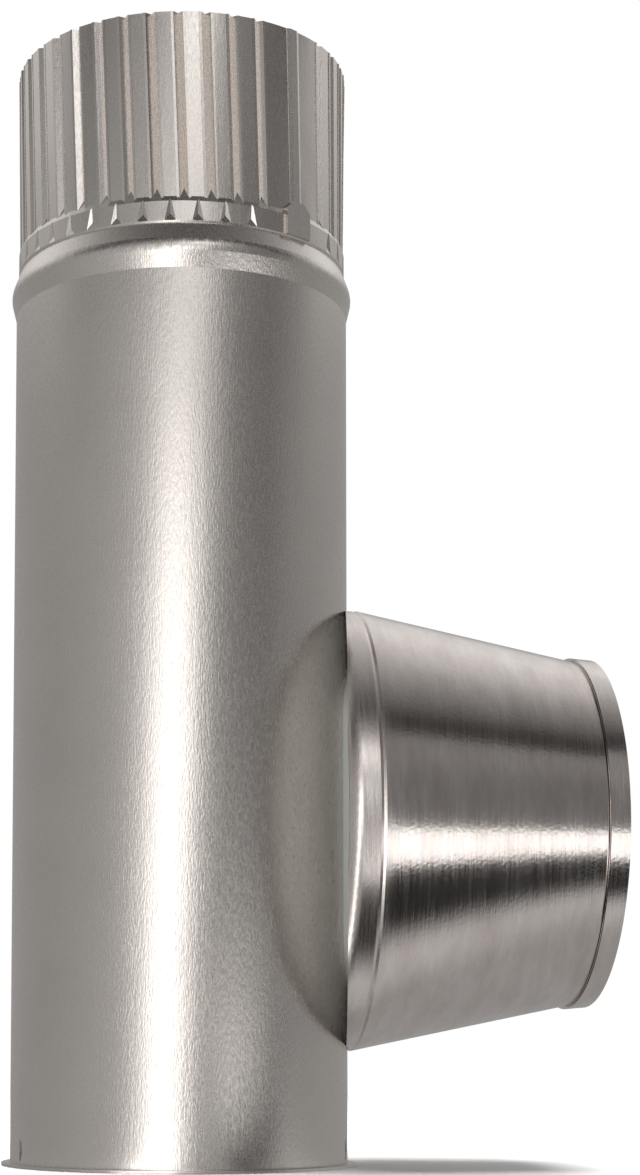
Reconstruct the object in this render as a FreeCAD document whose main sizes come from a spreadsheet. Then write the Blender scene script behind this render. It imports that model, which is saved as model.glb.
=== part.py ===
import FreeCAD, Part
import os
import re
import Sketcher

# Dryer vent offset in thin sheet metal, millimetres, +Z up.
# The tube stands on its end cap with its axis on Z. The tapered side collar points along +X.
# The origin is on the tube's axis, at the underside of the cap's flange.

doc = FreeCAD.newDocument("DryerVentOffset")

# Driving sizes. Heights near the crimped end are measured down from the rim.
SIZES = [
    ("sheet", 0.5, "thickness of the tube, plate and collar"),
    ("fit_gap", 0.1, "clearance between parts that slide together"),
    ("tube_radius", 50.8, "outer radius of the 4 inch tube"),
    ("tube_top", 333.4, "height of the crimped rim above the floor"),
    ("cap_sheet", 0.6, "thickness of the end cap"),
    ("flange_reach", 8.2, "how far the flange under the tube stands out past it"),
    ("cap_depth", 14, "how far the drawn cup reaches into the tube"),
    ("cap_bend", 1.2, "size of the bend at the closed end of the cup"),
    ("bead_foot_drop", 75.6, "down to the lower crease of the bead"),
    ("bead_crest_drop", 69.0, "down to the crest of the bead"),
    ("bead_proud", 1.6, "how far the bead would stand out with a sharp crest"),
    ("bead_round", 6, "radius over the crest of the bead"),
    ("ledge_drop", 62.1, "down to the ledge above the bead"),
    ("ledge_inset", 1.1, "how far the crease above the bead lies inside the tube's surface"),
    ("neck_inset", 0.65, "how far the buckled neck lies inside the tube's surface"),
    ("neck_height", 6.2, "height of the buckled neck"),
    ("neck_wall", 0.95, "depth of the buckled neck, folds included"),
    ("neck_taper", 1.5, "height over which the neck narrows to the crimps"),
    ("crimp_foot_inset", 1.1, "how far the crimps lie inside the tube's surface at their foot"),
    ("crimp_rim_inset", 0.5, "how far the crimps lie inside the tube's surface at the rim"),
    ("crimp_depth", 1.7, "depth of one crimp"),
    ("crimp_half_width", 1.75, "half the width of one crimp at the surface"),
    ("crimp_ramp", 4.2, "height of the ramp that ends a crimp"),
    ("crimp_lean", 2, "how far a crimp leans sideways from foot to rim"),
    ("crimp_count", 37, "number of full crimps"),
    ("fold_depth", 0.65, "depth of the small folds in the neck"),
    ("fold_half_width", 1.7, "half the width of a small fold"),
    ("fold_ramp", 2.2, "height of the ramp that ends a small fold"),
    ("seam_azimuth", -52, "where the lock seam lies, in degrees from +X about Z"),
    ("seam_free_angle", 28, "angle round the seam that has no full crimp"),
    ("seam_width", 8, "width of the folded strip inside the tube"),
    ("seam_depth", 1.2, "how far the folded strip stands into the tube"),
    ("rib_width", 4.6, "width of the seam's rib among the crimps"),
    ("rib_proud", 0.5, "how far that rib stands out of the crimps"),
    ("block_width", 9.4, "width of the flattened seam over the neck"),
    ("block_proud", 0.7, "how far the flattened seam stands out of the neck"),
    ("block_height", 10.6, "height of the flattened seam above the ledge"),
    ("block_round", 2.5, "how far the upper corners of the flattened seam are clipped"),
    ("block_fade", 0.4, "height from the ledge to the foot of the flattened seam"),
    ("lance_height", 7, "height of a half-moon lance at the foot of the tube"),
    ("lance_width", 2, "width of a half-moon lance"),
    ("lance_lift", 0.6, "from the tube's lower edge up to a lance"),
    ("outlet_height", 101, "height of the collar's axis above the floor"),
    ("opening_half_width", 18, "half the width of the tall opening in the tube"),
    ("opening_half_height", 50, "half the height of that opening"),
    ("lip_width", 4, "width of the lip turned over inside the tube"),
    ("skirt_lap", 8.8, "how far the skirt's rear edge reaches back past the tube's side"),
    ("skirt_edge_inset", 1.8, "how far the skirt's rear edge lies inside its shoulder"),
    ("cutback_start", 3, "from the skirt's side inward to where its rear edge is cut back"),
    ("bullnose_run", 2, "length over which the skirt swells from that edge"),
    ("bullnose_round", 4, "radius of the swollen shoulder"),
    ("shoulder_radius", 67, "outer radius of the collar's shoulder"),
    ("shoulder_lead", 1.4, "from the tube's side to where the taper starts"),
    ("swage_width", 1.6, "width of the swage that grips the back plate"),
    ("swage_depth", 0.25, "depth of that swage"),
    ("mouth_reach", 73.9, "from the tube's side to the lip of the mouth"),
    ("hem_width", 5.8, "width of the hem folded back round the mouth"),
    ("mouth_bore_radius", 52.5, "inner radius of the mouth"),
    ("hem_split", 1.2, "gap where the two ends of the hem meet"),
]
SIZE_NAMES = [name for name, _, _ in SIZES]

sizes = doc.addObject("Spreadsheet::Sheet", "Sizes")
for row, (name, number, note) in enumerate(SIZES, start=1):
    sizes.set("A%d" % row, name.replace("_", " "))
    sizes.set("B%d" % row, str(number))
    sizes.set("C%d" % row, note)
    sizes.setAlias("B%d" % row, name)
doc.recompute()


def bound(formula):
    """The formula with each size name written as a cell of the sheet."""
    return re.sub(r"[a-z_]+", lambda word: "Sizes." + word[0] if word[0] in SIZE_NAMES else word[0], formula)


def worth(formula):
    """The number that a formula of size names comes to now."""
    return float(sizes.evalExpression(bound(formula)))


def bind(item, **formulas):
    for name, formula in formulas.items():
        item.setExpression(name, bound(formula))


def origin_feature(body, role):
    return [part for part in body.Origin.OriginFeatures if part.Role == role][0]


def new_body(label):
    body = doc.addObject("PartDesign::Body", label.title().replace("_", ""))
    body.Label = label
    return body


def new_sketch(body, name, role="XY_Plane", at=("0", "0", "0"), turned=("0", "0", "0")):
    """A sketch on a plane of the body's origin, moved to at and turned by yaw, pitch and roll."""
    sketch = body.newObject("Sketcher::SketchObject", name)
    sketch.AttachmentSupport = [(origin_feature(body, role), "")]
    sketch.MapMode = "FlatFace"
    placement = "placement(vector(%s; %s; %s); rotation(%s; %s; %s))" % (tuple(at) + tuple(turned))
    bind(sketch, AttachmentOffset=placement)
    return sketch


def pin(sketch, edge, end, across, up):
    """Tie one end of an edge to its place across and up from the sketch's origin."""
    for kind, formula, axis in (("DistanceX", across, -2), ("DistanceY", up, -1)):
        if formula == "0":
            sketch.addConstraint(Sketcher.Constraint("PointOnObject", edge, end, axis))
        else:
            index = sketch.addConstraint(
                Sketcher.Constraint(kind, -1, 1, edge, end, worth(formula))
            )
            sketch.setExpression("Constraints[%d]" % index, bound(formula))


def outline(sketch, corners):
    """A closed outline of straight lines with each corner tied to its formulas."""
    points = [FreeCAD.Vector(worth(across), worth(up), 0) for across, up in corners]
    for here, there in zip(points, points[1:] + points[:1]):
        sketch.addGeometry(Part.LineSegment(here, there))
    for edge, (across, up) in enumerate(corners):
        before = (edge - 1) % len(corners)
        sketch.addConstraint(Sketcher.Constraint("Coincident", before, 2, edge, 1))
        pin(sketch, edge, 1, across, up)


def circle(sketch, radius):
    """A circle round the sketch's origin."""
    sketch.addGeometry(Part.Circle(FreeCAD.Vector(0, 0, 0), FreeCAD.Vector(0, 0, 1), worth(radius)))
    sketch.addConstraint(Sketcher.Constraint("Coincident", 0, 3, -1, 1))
    index = sketch.addConstraint(Sketcher.Constraint("Radius", 0, worth(radius)))
    sketch.setExpression("Constraints[%d]" % index, bound(radius))


def obround(sketch, half_width, half_height):
    """A tall shape with round ends, in a sketch whose own x points down."""
    straight = "(%s - (%s))" % (half_height, half_width)
    wide, tall, end = worth(half_width), worth(straight), worth(half_height)
    left_low, left_high = FreeCAD.Vector(tall, -wide, 0), FreeCAD.Vector(-tall, -wide, 0)
    right_low, right_high = FreeCAD.Vector(tall, wide, 0), FreeCAD.Vector(-tall, wide, 0)
    sketch.addGeometry(Part.LineSegment(left_high, left_low))
    sketch.addGeometry(Part.Arc(left_low, FreeCAD.Vector(end, 0, 0), right_low))
    sketch.addGeometry(Part.LineSegment(right_low, right_high))
    sketch.addGeometry(Part.Arc(right_high, FreeCAD.Vector(-end, 0, 0), left_high))
    pin(sketch, 0, 1, "-" + straight, "-(%s)" % half_width)
    pin(sketch, 0, 2, straight, "-(%s)" % half_width)
    pin(sketch, 2, 1, straight, half_width)
    pin(sketch, 2, 2, "-" + straight, half_width)
    for arc, centre in ((1, straight), (3, "-" + straight)):
        sketch.addConstraint(Sketcher.Constraint("Coincident", arc, 1, arc - 1, 2))
        sketch.addConstraint(Sketcher.Constraint("Coincident", arc, 2, (arc + 1) % 4, 1))
        index = sketch.addConstraint(Sketcher.Constraint("DistanceX", -1, 1, arc, 3, worth(centre)))
        sketch.setExpression("Constraints[%d]" % index, bound(centre))


def feature(body, kind, name, sketch, **formulas):
    made = body.newObject("PartDesign::" + kind, name)
    made.Profile = sketch
    bind(made, **formulas)
    sketch.Visibility = False
    return made


def revolve(body, name, sketch, axis):
    made = feature(body, "Revolution", name, sketch)
    made.ReferenceAxis = (sketch, [axis])
    made.Angle = 360
    doc.recompute()
    return made


def slide(body, kind, name, sketch, along, length):
    """A pad or pocket that runs in the direction along, given as three formulas."""
    made = feature(body, kind, name, sketch, Length=length)
    made.UseCustomVector = True
    made.AlongSketchNormal = False
    for letter, formula in zip("xyz", along):
        made.setExpression("Direction." + letter, bound(formula))
    return made


def leaning(azimuth, outward, sideways, up):
    """A direction given outward, sideways and up, turned to the azimuth."""
    return (
        "%s * cos(%s) + %s * sin(%s)" % (outward, azimuth, sideways, azimuth),
        "%s * sin(%s) - %s * cos(%s)" % (outward, azimuth, sideways, azimuth),
        up,
    )


def around(body, name, original, span, count):
    """Repeat a feature about Z over the span, with the first copy where it is."""
    pattern = body.newObject("PartDesign::PolarPattern", name)
    pattern.Originals = [original]
    pattern.Axis = (origin_feature(body, "Z_Axis"), [""])
    bind(pattern, Angle=span, Occurrences=count)
    body.Tip = pattern
    doc.recompute()
    return pattern


def rings(shape, places):
    """Names of the full round edges whose radius and height are among the places."""
    names = []
    for index, edge in enumerate(shape.Edges, start=1):
        if not hasattr(edge.Curve, "Radius"):
            continue
        for radius, height in places:
            near = abs(edge.Curve.Radius - radius) < 0.01 and abs(edge.CenterOfMass.z - height) < 0.01
            if near:
                names.append("Edge%d" % index)
    return names


def hoops(shape, radius, distance):
    """Names of the round edges about the collar's axis with this radius, at this distance."""
    names = []
    for index, edge in enumerate(shape.Edges, start=1):
        if not hasattr(edge.Curve, "Radius"):
            continue
        off = max(abs(edge.Curve.Radius - worth(radius)), abs(edge.CenterOfMass.x - worth(distance)))
        if off < 0.01:
            names.append("Edge%d" % index)
    return names


def fillet(body, name, base, edges, radius):
    made = body.newObject("PartDesign::Fillet", name)
    made.Base = (base, edges)
    bind(made, Radius=radius)
    doc.recompute()
    return made


# Places that several pieces share
TUBE_INSIDE = "tube_radius - sheet"
LEDGE_RADIUS = "(tube_radius - ledge_inset)"
NECK_RADIUS = "(tube_radius - neck_inset)"
FOOT_RADIUS = "(tube_radius - crimp_foot_inset)"
RIM_RADIUS = "(tube_radius - crimp_rim_inset)"
CRIMP_SPREAD = "(crimp_foot_inset - crimp_rim_inset)"
BEAD_FOOT = "tube_top - bead_foot_drop"
BEAD_CREST = "tube_top - bead_crest_drop"
LEDGE = "tube_top - ledge_drop"
NECK_FOOT = "tube_top - ledge_drop + ledge_inset - neck_inset"
NECK_TOP = "tube_top - ledge_drop + neck_height"
CRIMP_FOOT = "tube_top - ledge_drop + neck_height + neck_taper"
CRIMP_LENGTH = "ledge_drop - neck_height - neck_taper"
THROUGH_RIM = CRIMP_LENGTH + " + 2 * crimp_ramp"
LANCE_AZIMUTHS = ["-161", "-19", "90"]


def half_moon(sketch):
    """A half-moon standing on the tube's lower edge, in a plane whose own x points down."""
    low = "-cap_sheet - lance_lift"
    high = "-cap_sheet - lance_lift - lance_height"
    middle = "-cap_sheet - lance_lift - lance_height / 2"
    ends = [FreeCAD.Vector(worth(low), 0, 0), FreeCAD.Vector(worth(high), 0, 0)]
    bulge = FreeCAD.Vector(worth(middle), worth("lance_width"), 0)
    sketch.addGeometry(Part.LineSegment(ends[1], ends[0]))
    sketch.addGeometry(Part.Arc(ends[0], bulge, ends[1]))
    pin(sketch, 0, 1, high, "0")
    pin(sketch, 0, 2, low, "0")
    sketch.addConstraint(Sketcher.Constraint("Coincident", 0, 1, 1, 2))
    sketch.addConstraint(Sketcher.Constraint("Coincident", 0, 2, 1, 1))
    radius = "pow(lance_height; 2) / (8 * lance_width) + lance_width / 2"
    index = sketch.addConstraint(Sketcher.Constraint("Radius", 1, worth(radius)))
    sketch.setExpression("Constraints[%d]" % index, bound(radius))


def lances(body):
    """Half-moon slits punched through the wall, in from the outside."""
    for number, azimuth in enumerate(LANCE_AZIMUTHS, start=1):
        sketch = new_sketch(body, "LanceSketch%d" % number, turned=(azimuth, "90", "0"))
        half_moon(sketch)
        cut = feature(body, "Pocket", "Lance%d" % number, sketch, Length="tube_radius * 2")
        cut.Reversed = True
    doc.recompute()


# Duct tube: one rolled sheet, with a bead, a crimped end and a lock seam folded inside

tube = new_body("duct_tube")

wall_sketch = new_sketch(tube, "WallSketch", "XZ_Plane")
outline(wall_sketch, [
    ("tube_radius", "cap_sheet"),
    ("tube_radius", BEAD_FOOT),
    ("tube_radius + bead_proud", BEAD_CREST),
    (LEDGE_RADIUS, LEDGE),
    (NECK_RADIUS, NECK_FOOT),
    (NECK_RADIUS, NECK_TOP),
    (FOOT_RADIUS, CRIMP_FOOT),
    (RIM_RADIUS, "tube_top"),
    (RIM_RADIUS + " - sheet", "tube_top"),
    (FOOT_RADIUS + " - sheet", CRIMP_FOOT),
    (NECK_RADIUS + " - neck_wall", NECK_TOP),
    (NECK_RADIUS + " - neck_wall", LEDGE),
    ("tube_radius + bead_proud - sheet", BEAD_CREST),
    (TUBE_INSIDE, BEAD_FOOT),
    (TUBE_INSIDE, "cap_sheet"),
])
wall = revolve(tube, "Wall", wall_sketch, "V_Axis")
crest_places = [
    (worth("tube_radius + bead_proud"), worth(BEAD_CREST)),
    (worth("tube_radius + bead_proud - sheet"), worth(BEAD_CREST)),
]
fillet(tube, "BeadRound", wall, rings(wall.Shape, crest_places), "bead_round")

# The lock seam: a folded strip inside the tube, from above the end cap to the bead
strip_foot = "cap_sheet + cap_depth + 2 * cap_sheet"
strip_sketch = new_sketch(tube, "StripSketch", at=("0", "0", strip_foot), turned=("seam_azimuth", "0", "0"))
outline(strip_sketch, [
    ("tube_radius - sheet - seam_depth", "-seam_width / 2"),
    ("tube_radius - sheet / 2", "-seam_width / 2"),
    ("tube_radius - sheet / 2", "seam_width / 2"),
    ("tube_radius - sheet - seam_depth", "seam_width / 2"),
])
feature(tube, "Pad", "SeamStrip", strip_sketch, Length=BEAD_CREST + " - (" + strip_foot + ")")

# The seam shows outside only here: a rib among the crimps and a flattened block over the neck
rib_foot = FOOT_RADIUS + " - sheet / 2"
rib_sketch = new_sketch(tube, "RibSketch", at=("0", "0", NECK_TOP), turned=("seam_azimuth", "0", "0"))
outline(rib_sketch, [
    (rib_foot, "-rib_width / 2"),
    (FOOT_RADIUS, "-rib_width / 2"),
    (FOOT_RADIUS + " + rib_proud", "-rib_width / 4"),
    (FOOT_RADIUS + " + rib_proud", "rib_width / 4"),
    (FOOT_RADIUS, "rib_width / 2"),
    (rib_foot, "rib_width / 2"),
])
rib_way = leaning("seam_azimuth", CRIMP_SPREAD, "crimp_lean", CRIMP_LENGTH)
slide(tube, "Pad", "SeamRib", rib_sketch, rib_way, THROUGH_RIM)

block_foot = "sqrt(pow(" + FOOT_RADIUS + " - sheet / 4; 2) - pow(block_width / 2; 2))"
block_sketch = new_sketch(
    tube, "BlockSketch", at=(block_foot + " * cos(seam_azimuth)", block_foot + " * sin(seam_azimuth)", LEDGE),
    turned=("seam_azimuth", "90", "0"),
)
outline(block_sketch, [
    ("-block_fade", "-block_width / 2"),
    ("block_round - block_height", "-block_width / 2"),
    ("-block_height", "block_round - block_width / 2"),
    ("-block_height", "block_width / 2 - block_round"),
    ("block_round - block_height", "block_width / 2"),
    ("-block_fade", "block_width / 2"),
])
feature(tube, "Pad", "SeamBlock", block_sketch, Length=NECK_RADIUS + " + block_proud - " + block_foot)

# The tall opening towards the collar
opening_sketch = new_sketch(tube, "OpeningSketch", at=("0", "0", "outlet_height"), turned=("0", "90", "0"))
obround(opening_sketch, "opening_half_width + fit_gap", "opening_half_height + fit_gap")
opening = feature(tube, "Pocket", "Opening", opening_sketch, Length="tube_radius * 2")
opening.Reversed = True

lances(tube)

# The crimps: V-shaped folds that run from a ramp in the neck out through the rim.
# Each ramp is a triangle in a sloping plane, and the fold is that triangle slid up the wall.
FIRST_CRIMP = "(seam_azimuth + seam_free_angle / 2)"
CRIMP_SPAN = "360 - seam_free_angle"
CRIMP_PITCH = "((360 - seam_free_angle) / (crimp_count - 1))"


def ramp_plane(body, name, azimuth, radius, foot, depth, height, under):
    """A sketch in the plane of a ramp, or at the distance under behind it."""
    tilt = "atan2(%s; %s)" % (height, depth)
    out = "(%s - %s * sin(%s))" % (radius, under, tilt)
    place = (
        "%s * cos(%s)" % (out, azimuth),
        "%s * sin(%s)" % (out, azimuth),
        "%s - %s * cos(%s)" % (foot, under, tilt),
    )
    return new_sketch(body, name, at=place, turned=(azimuth, tilt, "0"))


def ramp_triangle(sketch, slope_length, half_width, deeper, reach):
    """The triangle of a ramp, with its point inward and its base carried on by reach."""
    base = "%s * (%s + %s + %s) / %s" % (half_width, slope_length, deeper, reach, slope_length)
    outline(sketch, [
        ("-%s - %s" % (slope_length, deeper), "0"),
        (reach, base),
        (reach, "-%s" % base),
    ])


CRIMP_SLOPE = "hypot(crimp_depth; crimp_ramp)"
CRIMP_WAY = leaning(FIRST_CRIMP, CRIMP_SPREAD, "crimp_lean", CRIMP_LENGTH)

# The inner face of each fold lies one sheet behind the outer one
BEHIND = (
    "sheet * (hypot(crimp_depth; crimp_half_width) / crimp_half_width"
    " - crimp_ramp / hypot(crimp_depth; crimp_ramp))"
    " * hypot(crimp_depth; crimp_ramp) / crimp_depth"
)
ridge_sketch = ramp_plane(
    tube, "RidgeSketch", FIRST_CRIMP, NECK_RADIUS, NECK_TOP, "crimp_depth", "crimp_ramp", "sheet"
)
ramp_triangle(ridge_sketch, CRIMP_SLOPE, "crimp_half_width", BEHIND, "sheet / 2")
ridge = slide(tube, "Pad", "Ridge", ridge_sketch, CRIMP_WAY, THROUGH_RIM)
around(tube, "Ridges", ridge, CRIMP_SPAN, "crimp_count")

crimp_sketch = ramp_plane(
    tube, "CrimpSketch", FIRST_CRIMP, NECK_RADIUS, NECK_TOP, "crimp_depth", "crimp_ramp", "0"
)
ramp_triangle(crimp_sketch, CRIMP_SLOPE, "crimp_half_width", "0", "sheet * 2")
crimp = slide(tube, "Pocket", "Crimp", crimp_sketch, CRIMP_WAY, THROUGH_RIM)
around(tube, "Crimps", crimp, CRIMP_SPAN, "crimp_count")

# Small folds between the crimps, which leave a row of six-sided swellings on the neck
fold_azimuth = "(%s + %s / 2)" % (FIRST_CRIMP, CRIMP_PITCH)
fold_sketch = ramp_plane(
    tube, "FoldSketch", fold_azimuth, NECK_RADIUS, NECK_FOOT, "fold_depth", "fold_ramp", "0"
)
ramp_triangle(fold_sketch, "hypot(fold_depth; fold_ramp)", "fold_half_width", "0", "sheet")
fold_rise = "(neck_height + neck_taper - fold_ramp)"
fold = slide(
    tube, "Pocket", "Fold", fold_sketch,
    leaning(fold_azimuth, "fold_depth", "0", fold_rise), fold_rise + " * 1.5",
)
around(tube, "Folds", fold, "%s - %s" % (CRIMP_SPAN, CRIMP_PITCH), "crimp_count - 1")

# The rim is trimmed flat
trim_sketch = new_sketch(tube, "TrimSketch", at=("0", "0", "tube_top"))
circle(trim_sketch, "tube_radius * 1.5")
trim = feature(tube, "Pocket", "RimTrim", trim_sketch, Length="crimp_ramp * 4")
trim.Reversed = True
doc.recompute()


# End cap: a drawn cup pushed up into the tube, with a flat flange under the tube's edge

cap = new_body("end_cap")
CAP_WALL = "tube_radius - sheet - fit_gap"
cap_sketch = new_sketch(cap, "CapSketch", "XZ_Plane")
outline(cap_sketch, [
    ("tube_radius + flange_reach", "0"),
    ("tube_radius + flange_reach", "cap_sheet"),
    (CAP_WALL, "cap_sheet"),
    (CAP_WALL, "cap_sheet + cap_depth - cap_bend"),
    (CAP_WALL + " - cap_bend", "cap_sheet + cap_depth"),
    ("0", "cap_sheet + cap_depth"),
    ("0", "cap_depth"),
    (CAP_WALL + " - cap_bend - cap_sheet / 2", "cap_depth"),
    (CAP_WALL + " - cap_sheet", "cap_depth - cap_bend + cap_sheet / 2"),
    (CAP_WALL + " - cap_sheet", "0"),
])
revolve(cap, "Cup", cap_sketch, "V_Axis")
lances(cap)


# Tapered collar: a spun cone with a skirt round the tube's side and a mouth hemmed outward

collar = new_body("tapered_collar")
SKIRT_FACE = "tube_radius - skirt_lap"
SKIRT_RADIUS = "shoulder_radius - skirt_edge_inset"
SWELL_CORNER = SKIRT_FACE + " + bullnose_run"
SHOULDER_END = "(tube_radius + shoulder_lead)"
SWAGE_START = SHOULDER_END + " - swage_width"
SWAGE_MIDDLE = SHOULDER_END + " - swage_width / 2"
MOUTH_END = "(tube_radius + mouth_reach)"
HEM_START = MOUTH_END + " - hem_width"
collar_sketch = new_sketch(collar, "CollarSketch", "XZ_Plane", at=("0", "outlet_height", "0"))
outline(collar_sketch, [
    (SKIRT_FACE, SKIRT_RADIUS),
    (SWELL_CORNER, "shoulder_radius"),
    (SWAGE_START, "shoulder_radius"),
    (SWAGE_MIDDLE, "shoulder_radius - swage_depth"),
    (SHOULDER_END, "shoulder_radius"),
    (HEM_START, "mouth_bore_radius + sheet"),
    (HEM_START, "mouth_bore_radius + 3 * sheet"),
    (MOUTH_END, "mouth_bore_radius + 2 * sheet"),
    (MOUTH_END, "mouth_bore_radius"),
    (HEM_START, "mouth_bore_radius"),
    (SHOULDER_END, "shoulder_radius - sheet"),
    (SWAGE_MIDDLE, "shoulder_radius - swage_depth - sheet"),
    (SWAGE_START, "shoulder_radius - sheet"),
    (SWELL_CORNER + " + bullnose_run / 2", "shoulder_radius - sheet"),
    (SKIRT_FACE, SKIRT_RADIUS + " - 2 * sheet"),
])
shell = revolve(collar, "Shell", collar_sketch, "H_Axis")
swell_edge = hoops(shell.Shape, "shoulder_radius", SWELL_CORNER)
fillet(collar, "Bullnose", shell, swell_edge, "bullnose_round")

# The skirt is notched above and below, where the tube passes through it
notch_sketch = new_sketch(collar, "TubeNotchSketch")
circle(notch_sketch, "tube_radius + fit_gap")
notch = feature(collar, "Pocket", "TubeNotch", notch_sketch, Length="outlet_height * 2")
notch.Reversed = True

# The skirt's rear edge is cut back in a shallow V, so that above and below it clears the tube's side
cutback_sketch = new_sketch(collar, "CutbackSketch")
outline(cutback_sketch, [
    ("0", "-shoulder_radius - sheet"),
    (SKIRT_FACE, "-shoulder_radius - sheet"),
    (SKIRT_FACE, "-(" + SKIRT_RADIUS + " - cutback_start)"),
    ("tube_radius + fit_gap", "0"),
    (SKIRT_FACE, SKIRT_RADIUS + " - cutback_start"),
    (SKIRT_FACE, "shoulder_radius + sheet"),
    ("0", "shoulder_radius + sheet"),
])
cutback = feature(collar, "Pocket", "Cutback", cutback_sketch, Length="outlet_height * 2")
cutback.Reversed = True

# The hem's two ends meet at the top with a small gap
hem_inside = "outlet_height + mouth_bore_radius + sheet"
split_sketch = new_sketch(collar, "HemSplitSketch", at=("0", "0", hem_inside))
outline(split_sketch, [
    (HEM_START + " - sheet", "-hem_split / 2"),
    (HEM_START + " + hem_split", "-hem_split / 2"),
    (HEM_START + " + hem_split", "hem_split / 2"),
    (HEM_START + " - sheet", "hem_split / 2"),
])
split = feature(collar, "Pocket", "HemSplit", split_sketch, Length="4 * sheet")
split.Reversed = True
doc.recompute()


# Back plate: a flat disc gripped by the collar's swage, with a neck drawn back into the tube.
# The neck passes through the tube's opening, and its edge is turned over inside as a lip.

PLATE_FACE = SHOULDER_END + " - (swage_width + sheet) / 2"


def upright_rod(name, radius):
    """A rod on the tube's axis, as tall as the tube."""
    rod = doc.addObject("Part::Cylinder", name)
    bind(rod, Radius=radius, Height="tube_top")
    return rod


def level_slot(name, half_width, half_height, end):
    """A tall round-ended bar on the collar's axis, from the tube's axis to the end."""
    profile = doc.addObject("Sketcher::SketchObject", name + "Sketch")
    bind(profile, Placement="placement(vector(0; 0; outlet_height); rotation(0; 90; 0))")
    obround(profile, half_width, half_height)
    bar = doc.addObject("Part::Extrusion", name)
    bar.Base = profile
    bar.DirMode = "Normal"
    bar.Solid = True
    bind(bar, LengthFwd=end)
    return bar


def shared(name, *pieces):
    common = doc.addObject("Part::MultiCommon", name)
    common.Shapes = list(pieces)
    return common


def less(name, base, tool):
    cut = doc.addObject("Part::Cut", name)
    cut.Base = base
    cut.Tool = tool
    return cut


disc = doc.addObject("Part::Cylinder", "Disc")
disc.Placement = FreeCAD.Placement(FreeCAD.Vector(0, 0, 0), FreeCAD.Rotation(FreeCAD.Vector(0, 1, 0), 90))
bind(disc, Radius="shoulder_radius - swage_depth - sheet - fit_gap", Height="sheet")
disc.setExpression("Placement.Base.x", bound(PLATE_FACE))
disc.setExpression("Placement.Base.z", bound("outlet_height"))

LIP_OUTSIDE = "tube_radius - sheet - fit_gap"
neck = less(
    "Neck",
    level_slot("NeckBar", "opening_half_width", "opening_half_height", PLATE_FACE + " + sheet"),
    upright_rod("NeckTrim", LIP_OUTSIDE + " - sheet"),
)
lip_core = upright_rod("LipCore", LIP_OUTSIDE + " - sheet")
lip_shell = less("LipShell", upright_rod("LipRod", LIP_OUTSIDE), lip_core)
lip = shared(
    "Lip", lip_shell,
    level_slot("LipBar", "opening_half_width + lip_width", "opening_half_height + lip_width", "tube_radius"),
)
plate_blank = doc.addObject("Part::MultiFuse", "PlateBlank")
plate_blank.Shapes = [disc, neck, lip]
plate = less(
    "BackPlate", plate_blank,
    level_slot("FlowWay", "opening_half_width - sheet", "opening_half_height - sheet", "tube_radius * 2"),
)
plate.Label = "back_plate"
doc.recompute()


# Each piece is checked and written to its own file

for item in doc.Objects:
    if "Invalid" in item.State or "Error" in item.State:
        raise RuntimeError("%s did not build: %s" % (item.Name, item.State))

os.makedirs("parts", exist_ok=True)
for piece in (tube, cap, plate, collar):
    shape = piece.Shape
    if shape.isNull() or not shape.isValid() or len(shape.Solids) != 1:
        raise RuntimeError("%s is not one valid solid" % piece.Label)
    shape.exportStep("parts/%s.step" % piece.Label)
    print(piece.Label, round(shape.Volume, 1), shape.BoundBox)
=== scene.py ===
import math
import bmesh
import bpy
from mathutils import Matrix, Vector


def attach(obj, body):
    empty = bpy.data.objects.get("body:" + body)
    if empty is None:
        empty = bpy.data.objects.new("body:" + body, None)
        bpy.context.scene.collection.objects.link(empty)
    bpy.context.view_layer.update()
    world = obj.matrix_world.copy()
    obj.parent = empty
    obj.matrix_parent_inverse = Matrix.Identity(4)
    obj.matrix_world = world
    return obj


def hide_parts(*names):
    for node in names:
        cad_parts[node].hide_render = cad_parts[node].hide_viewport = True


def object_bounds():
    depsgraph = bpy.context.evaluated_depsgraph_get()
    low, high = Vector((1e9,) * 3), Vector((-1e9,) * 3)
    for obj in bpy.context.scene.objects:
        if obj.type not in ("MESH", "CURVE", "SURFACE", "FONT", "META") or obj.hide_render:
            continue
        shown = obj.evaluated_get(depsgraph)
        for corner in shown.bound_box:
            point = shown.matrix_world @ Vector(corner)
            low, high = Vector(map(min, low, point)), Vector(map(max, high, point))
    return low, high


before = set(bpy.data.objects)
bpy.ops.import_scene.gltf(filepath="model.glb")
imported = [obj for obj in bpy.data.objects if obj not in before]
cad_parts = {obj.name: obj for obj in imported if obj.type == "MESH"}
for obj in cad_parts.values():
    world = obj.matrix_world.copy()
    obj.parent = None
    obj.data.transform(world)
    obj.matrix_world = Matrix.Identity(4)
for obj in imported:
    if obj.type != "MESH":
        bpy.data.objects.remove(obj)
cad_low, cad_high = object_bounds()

# Dryer vent offset in thin sheet metal. Metres, +Z up, the side collar points along +X.
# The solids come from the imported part, and only the end cap's flange is drawn in here. The rest
# is the metal's finish and the studio: floor, tent, mirrored ground, lamp, white room and camera.


# The duct tube: one sheet of mill-finish aluminium, rolled round and closed by a lock seam.
# Rolling left fine streaks and specks that run up it, under a slow mottling of the tone.
# The crimping dies pressed the sheet above the bead smoother.

noise_low = 0.3
noise_high = 0.7


def colour(code):
    """The linear colour of an sRGB hex code such as #d8d3ce."""
    parts = [int(code[start:start + 2], 16) / 255 for start in (1, 3, 5)]
    linear = [
        part / 12.92 if part <= 0.04045 else ((part + 0.055) / 1.055) ** 2.4
        for part in parts
    ]
    return (*linear, 1)


def grey(level):
    return (level, level, level, 1)


def per_metre(sizes):
    """Noise cells per metre along X, Y and Z for cells of these sizes in millimetres."""
    return [1000 / size for size in sizes]


def new_material(name):
    material = bpy.data.materials.new(name)
    material.use_nodes = True
    material.node_tree.nodes.clear()
    return material


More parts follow.
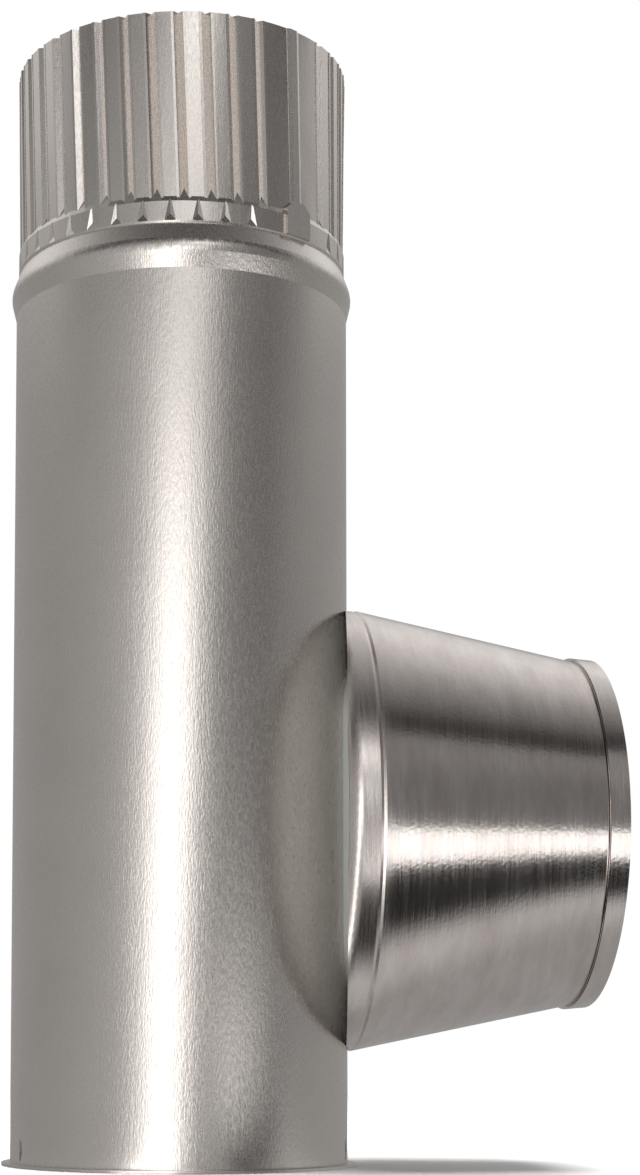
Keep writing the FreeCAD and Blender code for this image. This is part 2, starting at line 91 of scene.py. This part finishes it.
def add(tree, kind, inputs=None, stops=None, **settings):
    """Add a shader node and give back its outputs.

    Inputs are plain values or outputs to link. Stops are a ramp's places and grey levels.
    """
    node = tree.nodes.new("ShaderNode" + kind)
    for name, value in settings.items():
        setattr(node, name, value)
    for name, value in (inputs or {}).items():
        if isinstance(value, bpy.types.NodeSocket):
            tree.links.new(value, node.inputs[name])
        else:
            node.inputs[name].default_value = value
    if stops:
        marks = node.color_ramp.elements
        marks.remove(marks[1])
        marks[0].position = stops[0][0]
        marks[0].color = grey(stops[0][1])
        for position, level in stops[1:]:
            marks.new(position).color = grey(level)
    return node.outputs


def rolled_sheet(name, tone, pale, rough, streak_size, speck_size, bare=1.0):
    """Rolled aluminium, bare or partly under a dull film.

    Streaks and specks are noise cells with their X, Y and Z sizes in millimetres. Real grain is
    finer than a pixel, so both are drawn as coarse as they need to be to show.
    """
    mottle_size = 26.32
    unpressed_height = cad_high[2] - 0.0714
    pressed_height = cad_high[2] - 0.0634
    streak_depth = 0.0003
    speck_depth = 0.00012
    material = new_material(name)
    tree = material.node_tree
    place = add(tree, "TexCoord")["Object"]
    streak_place = add(tree, "Mapping", {
        "Vector": place, "Scale": per_metre(streak_size),
    })["Vector"]
    streaks = add(tree, "TexNoise", {
        "Vector": streak_place, "Scale": 1.0, "Detail": 3.0, "Roughness": 0.6,
    })["Fac"]
    speck_place = add(tree, "Mapping", {
        "Vector": place, "Scale": per_metre(speck_size),
    })["Vector"]
    specks = add(tree, "TexNoise", {
        "Vector": speck_place, "Scale": 1.0, "Detail": 2.0, "Roughness": 0.6,
    })["Fac"]
    mottle = add(tree, "TexNoise", {
        "Vector": place, "Scale": 1000 / mottle_size, "Detail": 3.0, "Roughness": 0.55,
    })["Fac"]
    tint = add(tree, "Mix", {
        "Factor": mottle, "A": colour(tone), "B": colour(pale),
    }, data_type="RGBA")["Result"]
    height = add(tree, "SeparateXYZ", {"Vector": place})["Z"]
    speck_strength = add(tree, "MapRange", {
        "Value": height, "From Min": unpressed_height, "From Max": pressed_height,
        "To Min": 0.55, "To Max": 0.18,
    })["Result"]
    streaked = add(tree, "Bump", {
        "Height": streaks, "Strength": 0.09, "Distance": streak_depth,
    })["Normal"]
    specked = add(tree, "Bump", {
        "Height": specks, "Strength": speck_strength, "Distance": speck_depth, "Normal": streaked,
    })["Normal"]
    spread = add(tree, "MapRange", {
        "Value": specks, "From Min": noise_low, "From Max": noise_high,
        "To Min": rough - 0.05, "To Max": rough + 0.06,
    })["Result"]
    skin = add(tree, "BsdfPrincipled", {
        "Base Color": tint, "Metallic": bare, "Roughness": spread, "Normal": specked,
    })["BSDF"]
    add(tree, "OutputMaterial", {"Surface": skin})
    return material


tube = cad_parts["duct_tube"]
tube.data.materials[0] = rolled_sheet(
    "rolled_aluminium", "#d6cfca", "#e4ddd6", 0.25,
    streak_size=(2.381, 2.381, 111.1), speck_size=(0.4348, 0.4348, 1.923),
)


# The end cap: an aluminium cup, drawn and pushed up into the tube's foot, where lances hold it.
# The photograph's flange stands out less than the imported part's, so a copy of the cap, with the
# flange drawn in to that width, takes its place. The flat sheet's grain runs along Y.

flange_radius = 0.0534
merge_distance = 1e-6

packed_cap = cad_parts["end_cap"]
cap = bpy.data.objects.new("narrow_end_cap", packed_cap.data.copy())
bpy.context.collection.objects.link(cap)
shell = bmesh.new()
shell.from_mesh(cap.data)
bmesh.ops.remove_doubles(shell, verts=shell.verts, dist=merge_distance)
for point in shell.verts:
    if point.co.xy.length > flange_radius:
        point.co.xy = point.co.xy.normalized() * flange_radius
shell.to_mesh(cap.data)
shell.free()
cap.data.materials[0] = rolled_sheet(
    "flat_rolled_aluminium", "#cdc6c2", "#d9d2ce", 0.32,
    streak_size=(2.381, 111.1, 2.381), speck_size=(0.4545, 1.429, 0.4545),
)
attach(cap, "root")
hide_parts("end_cap")


# The back plate: a flat aluminium disc held in the collar's swage, with its neck drawn through
# the tube's side. It is taken to have gone dull, so less than a third of it is bare metal, and
# the tube beside the collar mirrors it only faintly.

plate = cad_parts["back_plate"]
plate.data.materials[0] = rolled_sheet(
    "dull_aluminium", "#dadcd9", "#e5e6e3", 0.6,
    streak_size=(111.1, 2.381, 2.381), speck_size=(1.429, 0.4545, 0.4545), bare=0.3,
)


# The tapered collar: half-bright aluminium, spun to a cone on a lathe and hemmed at its mouth.
# The tool left fine rings round the X axis, over a faint pebbled skin. The rolled skirt is
# duller than the cone, and a thin dark ring of painted shade lies in the crevice behind the hem.

ring_size = (0.5263, 25, 25)
pebble_size = 1.111
blotch_size = (5.882, 20.83, 20.83)
ring_depth = 0.0002
pebble_depth = 0.00015
crevice_place = cad_high[0] - 0.0061
crevice_half_width = 0.0002
skirt_end = 0.052
cone_start = 0.055
collar_rough = 0.16

spun = new_material("spun_aluminium")
tree = spun.node_tree
place = add(tree, "TexCoord")["Object"]
ring_place = add(tree, "Mapping", {"Vector": place, "Scale": per_metre(ring_size)})["Vector"]
rings = add(tree, "TexNoise", {
    "Vector": ring_place, "Scale": 1.0, "Detail": 3.0, "Roughness": 0.6,
})["Fac"]
pebbles = add(tree, "TexNoise", {
    "Vector": place, "Scale": 1000 / pebble_size, "Detail": 2.0, "Roughness": 0.5,
})["Fac"]
blotch_place = add(tree, "Mapping", {"Vector": place, "Scale": per_metre(blotch_size)})["Vector"]
blotches = add(tree, "TexNoise", {
    "Vector": blotch_place, "Scale": 1.0, "Detail": 5.0, "Roughness": 0.68,
})["Fac"]
blotch_share = add(tree, "MapRange", {
    "Value": blotches, "From Min": noise_low, "From Max": noise_high,
})["Result"]
clean = add(tree, "Mix", {
    "Factor": blotch_share, "A": colour("#d3c9c3"), "B": colour("#e9e1dc"),
}, data_type="RGBA")["Result"]
along = add(tree, "SeparateXYZ", {"Vector": place})["X"]
# A thin dark ring at the hem's crevice is painted shade, not a colour of the metal.
crevice_shade = add(tree, "Math", {
    0: along, 1: crevice_place, 2: crevice_half_width,
}, operation="COMPARE")["Value"]
# The painted shade darkens the collar's colour at the crevice.
tint = add(tree, "Mix", {
    "Factor": crevice_shade, "A": clean, "B": colour("#5c5653"),
}, data_type="RGBA")["Result"]
ringed = add(tree, "Bump", {
    "Height": rings, "Strength": 0.14, "Distance": ring_depth,
})["Normal"]
pebbled = add(tree, "Bump", {
    "Height": pebbles, "Strength": 0.16, "Distance": pebble_depth, "Normal": ringed,
})["Normal"]
spread = add(tree, "MapRange", {
    "Value": rings, "From Min": noise_low, "From Max": noise_high,
    "To Min": collar_rough - 0.03, "To Max": collar_rough + 0.05,
})["Result"]
dulled = add(tree, "MapRange", {
    "Value": along, "From Min": skirt_end, "From Max": cone_start, "To Min": 0.1, "To Max": 0.0,
})["Result"]
rough = add(tree, "Math", {0: spread, 1: dulled}, operation="ADD")["Value"]
skin = add(tree, "BsdfPrincipled", {
    "Base Color": tint, "Metallic": 1.0, "Roughness": rough, "Normal": pebbled,
})["BSDF"]
add(tree, "OutputMaterial", {"Surface": skin})
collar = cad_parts["tapered_collar"]
collar.data.materials[0] = spun


# The floor: a pale matt sheet that runs out into the white of the background.
# Only camera, mirror and clear rays see that white, so it throws no light on matt surfaces.

sheet_radius = 2.0
floor_height = -0.0003
fade_start = 0.25
fade_end = 1.0

bpy.ops.mesh.primitive_circle_add(
    vertices=96, radius=sheet_radius, fill_type="NGON", location=(0, 0, floor_height),
)
floor = bpy.context.object
floor.name = "floor"
paper = new_material("pale_floor")
tree = paper.node_tree
place = add(tree, "TexCoord")["Object"]
reach = add(tree, "VectorMath", {0: place}, operation="LENGTH")["Value"]
far = add(tree, "ValToRGB", {"Fac": reach}, stops=[(0, 0), (fade_start, 0), (fade_end, 1)])["Color"]
path = add(tree, "LightPath")
direct = add(tree, "Math", {
    0: path["Is Camera Ray"], 1: path["Is Glossy Ray"],
}, operation="MAXIMUM")["Value"]
seen = add(tree, "Math", {0: direct, 1: path["Is Transmission Ray"]}, operation="MAXIMUM")["Value"]
share = add(tree, "Math", {0: far, 1: seen}, operation="MULTIPLY")["Value"]
matt = add(tree, "BsdfDiffuse", {"Color": grey(0.92)})["BSDF"]
white = add(tree, "Emission", {"Color": grey(1.0), "Strength": 1.0})["Emission"]
mixed = add(tree, "MixShader", {"Fac": share, 1: matt, 2: white})["Shader"]
add(tree, "OutputMaterial", {"Surface": mixed})
floor.data.materials.append(paper)


# The tent: a round paper room, lit from outside, which the camera looks in through.
# Its tone goes by direction: round the horizon for the upright tube, and over the top from
# front to back for the level collar. A bright strip left of the camera leans right as it rises.

tent_radius = 2.2
tent_height = 0.1
strip_lean = -0.6


def turn(tree, over, along):
    """The angle atan2(over, along), with -180..180 degrees brought to 0..1."""
    angle = add(tree, "Math", {0: over, 1: along}, operation="ARCTAN2")["Value"]
    return add(tree, "MapRange", {
        "Value": angle, "From Min": -math.pi, "From Max": math.pi,
    })["Result"]


def by_degrees(levels):
    """Ramp stops on the scale of turn, from angles in degrees and their grey levels."""
    return [((degrees + 180) / 360, level) for degrees, level in levels]


bpy.ops.mesh.primitive_uv_sphere_add(
    segments=64, ring_count=32, radius=tent_radius, location=(0, 0, tent_height),
)
tent = bpy.context.object
tent.name = "studio_tent"
tent.visible_camera = False
paint = new_material("tent_paper")
tree = paint.node_tree
place = add(tree, "TexCoord")["Object"]
way = add(tree, "SeparateXYZ", {"Vector": place})
forward = add(tree, "Math", {0: way["Y"], 1: -1.0}, operation="MULTIPLY")["Value"]
drift = add(tree, "Math", {0: way["Z"], 1: strip_lean, 2: way["X"]}, operation="MULTIPLY_ADD")["Value"]
bearing = turn(tree, drift, forward)
round_horizon = add(tree, "ValToRGB", {"Fac": bearing}, stops=by_degrees([
    (-180, 0.40), (-150, 0.36), (-100, 0.32), (-75, 0.36), (-50, 0.42), (-38, 0.55),
    (-27, 0.8), (-7, 0.8), (0, 0.6), (7, 0.36), (16, 0.22), (28, 0.17), (38, 0.18),
    (48, 0.12), (62, 0.24), (100, 0.31), (180, 0.4),
]))["Color"]
over_top = add(tree, "ValToRGB", {"Fac": turn(tree, way["Z"], forward)}, stops=by_degrees([
    (-180, 0.34), (0, 0.3), (26, 0.25), (48, 0.25), (52, 0.04), (60, 0.04), (68, 0.14),
    (78, 0.24), (90, 0.40), (102, 0.62), (126, 0.9), (140, 0.8), (154, 0.7), (166, 0.36),
    (180, 0.34),
]))["Color"]
lift = add(tree, "Math", {0: way["Z"], 1: tent_radius}, operation="DIVIDE")["Value"]
top_share = add(tree, "MapRange", {"Value": lift, "From Min": 0.36, "From Max": 0.55})["Result"]
walls = add(tree, "Mix", {
    "Factor": top_share, "A": round_horizon, "B": over_top,
}, data_type="RGBA")["Result"]
strip = add(tree, "ValToRGB", {"Fac": bearing}, stops=by_degrees([
    (-180, 0), (-29, 0), (-23, 1), (-6, 1), (0, 0), (180, 0),
]))["Color"]
strip_level = add(tree, "ValToRGB", {"Fac": lift}, stops=[
    (0.0, 2.3), (0.24, 2.3), (0.35, 0.5), (0.42, 0.5), (0.47, 1.8), (0.6, 1.8), (0.7, 0.4),
])["Color"]
strip_end = add(tree, "MapRange", {"Value": lift, "From Min": 0.66, "From Max": 0.58})["Result"]
strip_share = add(tree, "Math", {0: strip, 1: strip_end}, operation="MULTIPLY")["Value"]
inside = add(tree, "Mix", {
    "Factor": strip_share, "A": walls, "B": strip_level,
}, data_type="RGBA")["Result"]
glow = add(tree, "Emission", {"Color": inside, "Strength": 1.0})["Emission"]
add(tree, "OutputMaterial", {"Surface": glow})
tent.data.materials.append(paint)


# The ground as the metal sees it: a round sheet on the floor that only mirror rays meet.
# In front of the collar lies a dark strip, and beyond it, towards the camera, a lit patch, for
# the collar's dark and bright bands. A bright wedge before the tube is the strip's foot.

ground_height = -0.0001
row_slant = 0.45
row_reach = 1.0

bpy.ops.mesh.primitive_circle_add(
    vertices=96, radius=sheet_radius, fill_type="NGON", location=(0, 0, ground_height),
)
ground = bpy.context.object
ground.name = "mirrored_ground"
ground.visible_camera = False
ground.visible_diffuse = False
ground.visible_shadow = False
paint = new_material("ground_paper")
tree = paint.node_tree
place = add(tree, "TexCoord")["Object"]
way = add(tree, "SeparateXYZ", {"Vector": place})
across = add(tree, "Math", {0: way["X"], 1: row_slant, 2: way["Y"]}, operation="MULTIPLY_ADD")["Value"]
depth = add(tree, "MapRange", {
    "Value": across, "From Min": -row_reach, "From Max": row_reach,
})["Result"]
row_levels = [
    (-row_reach, 1.6), (-0.174, 1.6), (-0.162, 0.02), (-0.054, 0.02), (-0.028, 0.56),
    (0.024, 0.4), (0.12, 0.3), (row_reach, 0.3),
]
rows = add(tree, "ValToRGB", {"Fac": depth}, stops=[
    ((metres + row_reach) / (2 * row_reach), level) for metres, level in row_levels
])["Color"]
bearing = turn(tree, way["X"], way["Y"])
row_share = add(tree, "ValToRGB", {"Fac": bearing}, stops=by_degrees([
    (-180, 0), (108, 0), (118.8, 1), (158.4, 1), (165.6, 0), (180, 0),
]))["Color"]
foot = add(tree, "ValToRGB", {"Fac": bearing}, stops=by_degrees([
    (-180, 0.4), (-175.68, 0.7), (-172.8, 2.3), (-157.68, 2.3), (-152.64, 0.7),
    (-136.8, 0.42), (-72, 0.34), (180, 0.36),
]))["Color"]
tone = add(tree, "Mix", {"Factor": row_share, "A": foot, "B": rows}, data_type="RGBA")["Result"]
glow = add(tree, "Emission", {"Color": tone, "Strength": 1.0})["Emission"]
add(tree, "OutputMaterial", {"Surface": glow})
ground.data.materials.append(paint)


# The lamp overhead lights the floor and throws the soft shadow under the object.
# The white room is the plain background behind the floor's edge.

lamp_place = (0.1, 0.25, 1.7)
lamp_width = 1.4
lamp_watts = 60

bpy.ops.object.light_add(type="AREA", location=lamp_place)
lamp = bpy.context.object
lamp.name = "overhead_lamp"
lamp.data.shape = "SQUARE"
lamp.data.size = lamp_width
lamp.data.energy = lamp_watts
lamp.visible_glossy = False

world = bpy.data.worlds.new("white_room")
world.use_nodes = True
background = world.node_tree.nodes["Background"]
background.inputs["Color"].default_value = grey(1.0)
background.inputs["Strength"].default_value = 1.0
bpy.context.scene.world = world
bpy.context.scene.view_settings.view_transform = "Standard"


# The camera stands low in front of the object, a little to its left, and looks up slightly.
# Its place, its angles in radians and its focal length were fitted to the photograph's
# outlines. The lens shift frames the object as the photograph does.

camera_place = (-0.05233, -0.66087, 0.03404)
yaw = 0.0788
pitch = 0.0665
roll = 0.0031
sensor_width = 36
photo_height = 1175
focal_pixels = 2186.4

ahead_level = Vector((math.sin(yaw), math.cos(yaw), 0))
right_level = Vector((math.cos(yaw), -math.sin(yaw), 0))
ahead = math.cos(pitch) * ahead_level + Vector((0, 0, math.sin(pitch)))
above = -math.sin(pitch) * ahead_level + Vector((0, 0, math.cos(pitch)))
right = math.cos(roll) * right_level + math.sin(roll) * above
upward = -math.sin(roll) * right_level + math.cos(roll) * above
bpy.ops.object.camera_add(location=camera_place)
camera = bpy.context.object
camera.name = "camera"
camera.rotation_euler = Matrix((right, upward, -ahead)).transposed().to_euler()
camera.data.sensor_width = sensor_width
camera.data.lens = sensor_width * focal_pixels / photo_height
camera.data.shift_x = 0.12
camera.data.shift_y = 0.27
camera.data.clip_start = 0.01
bpy.context.scene.camera = camera
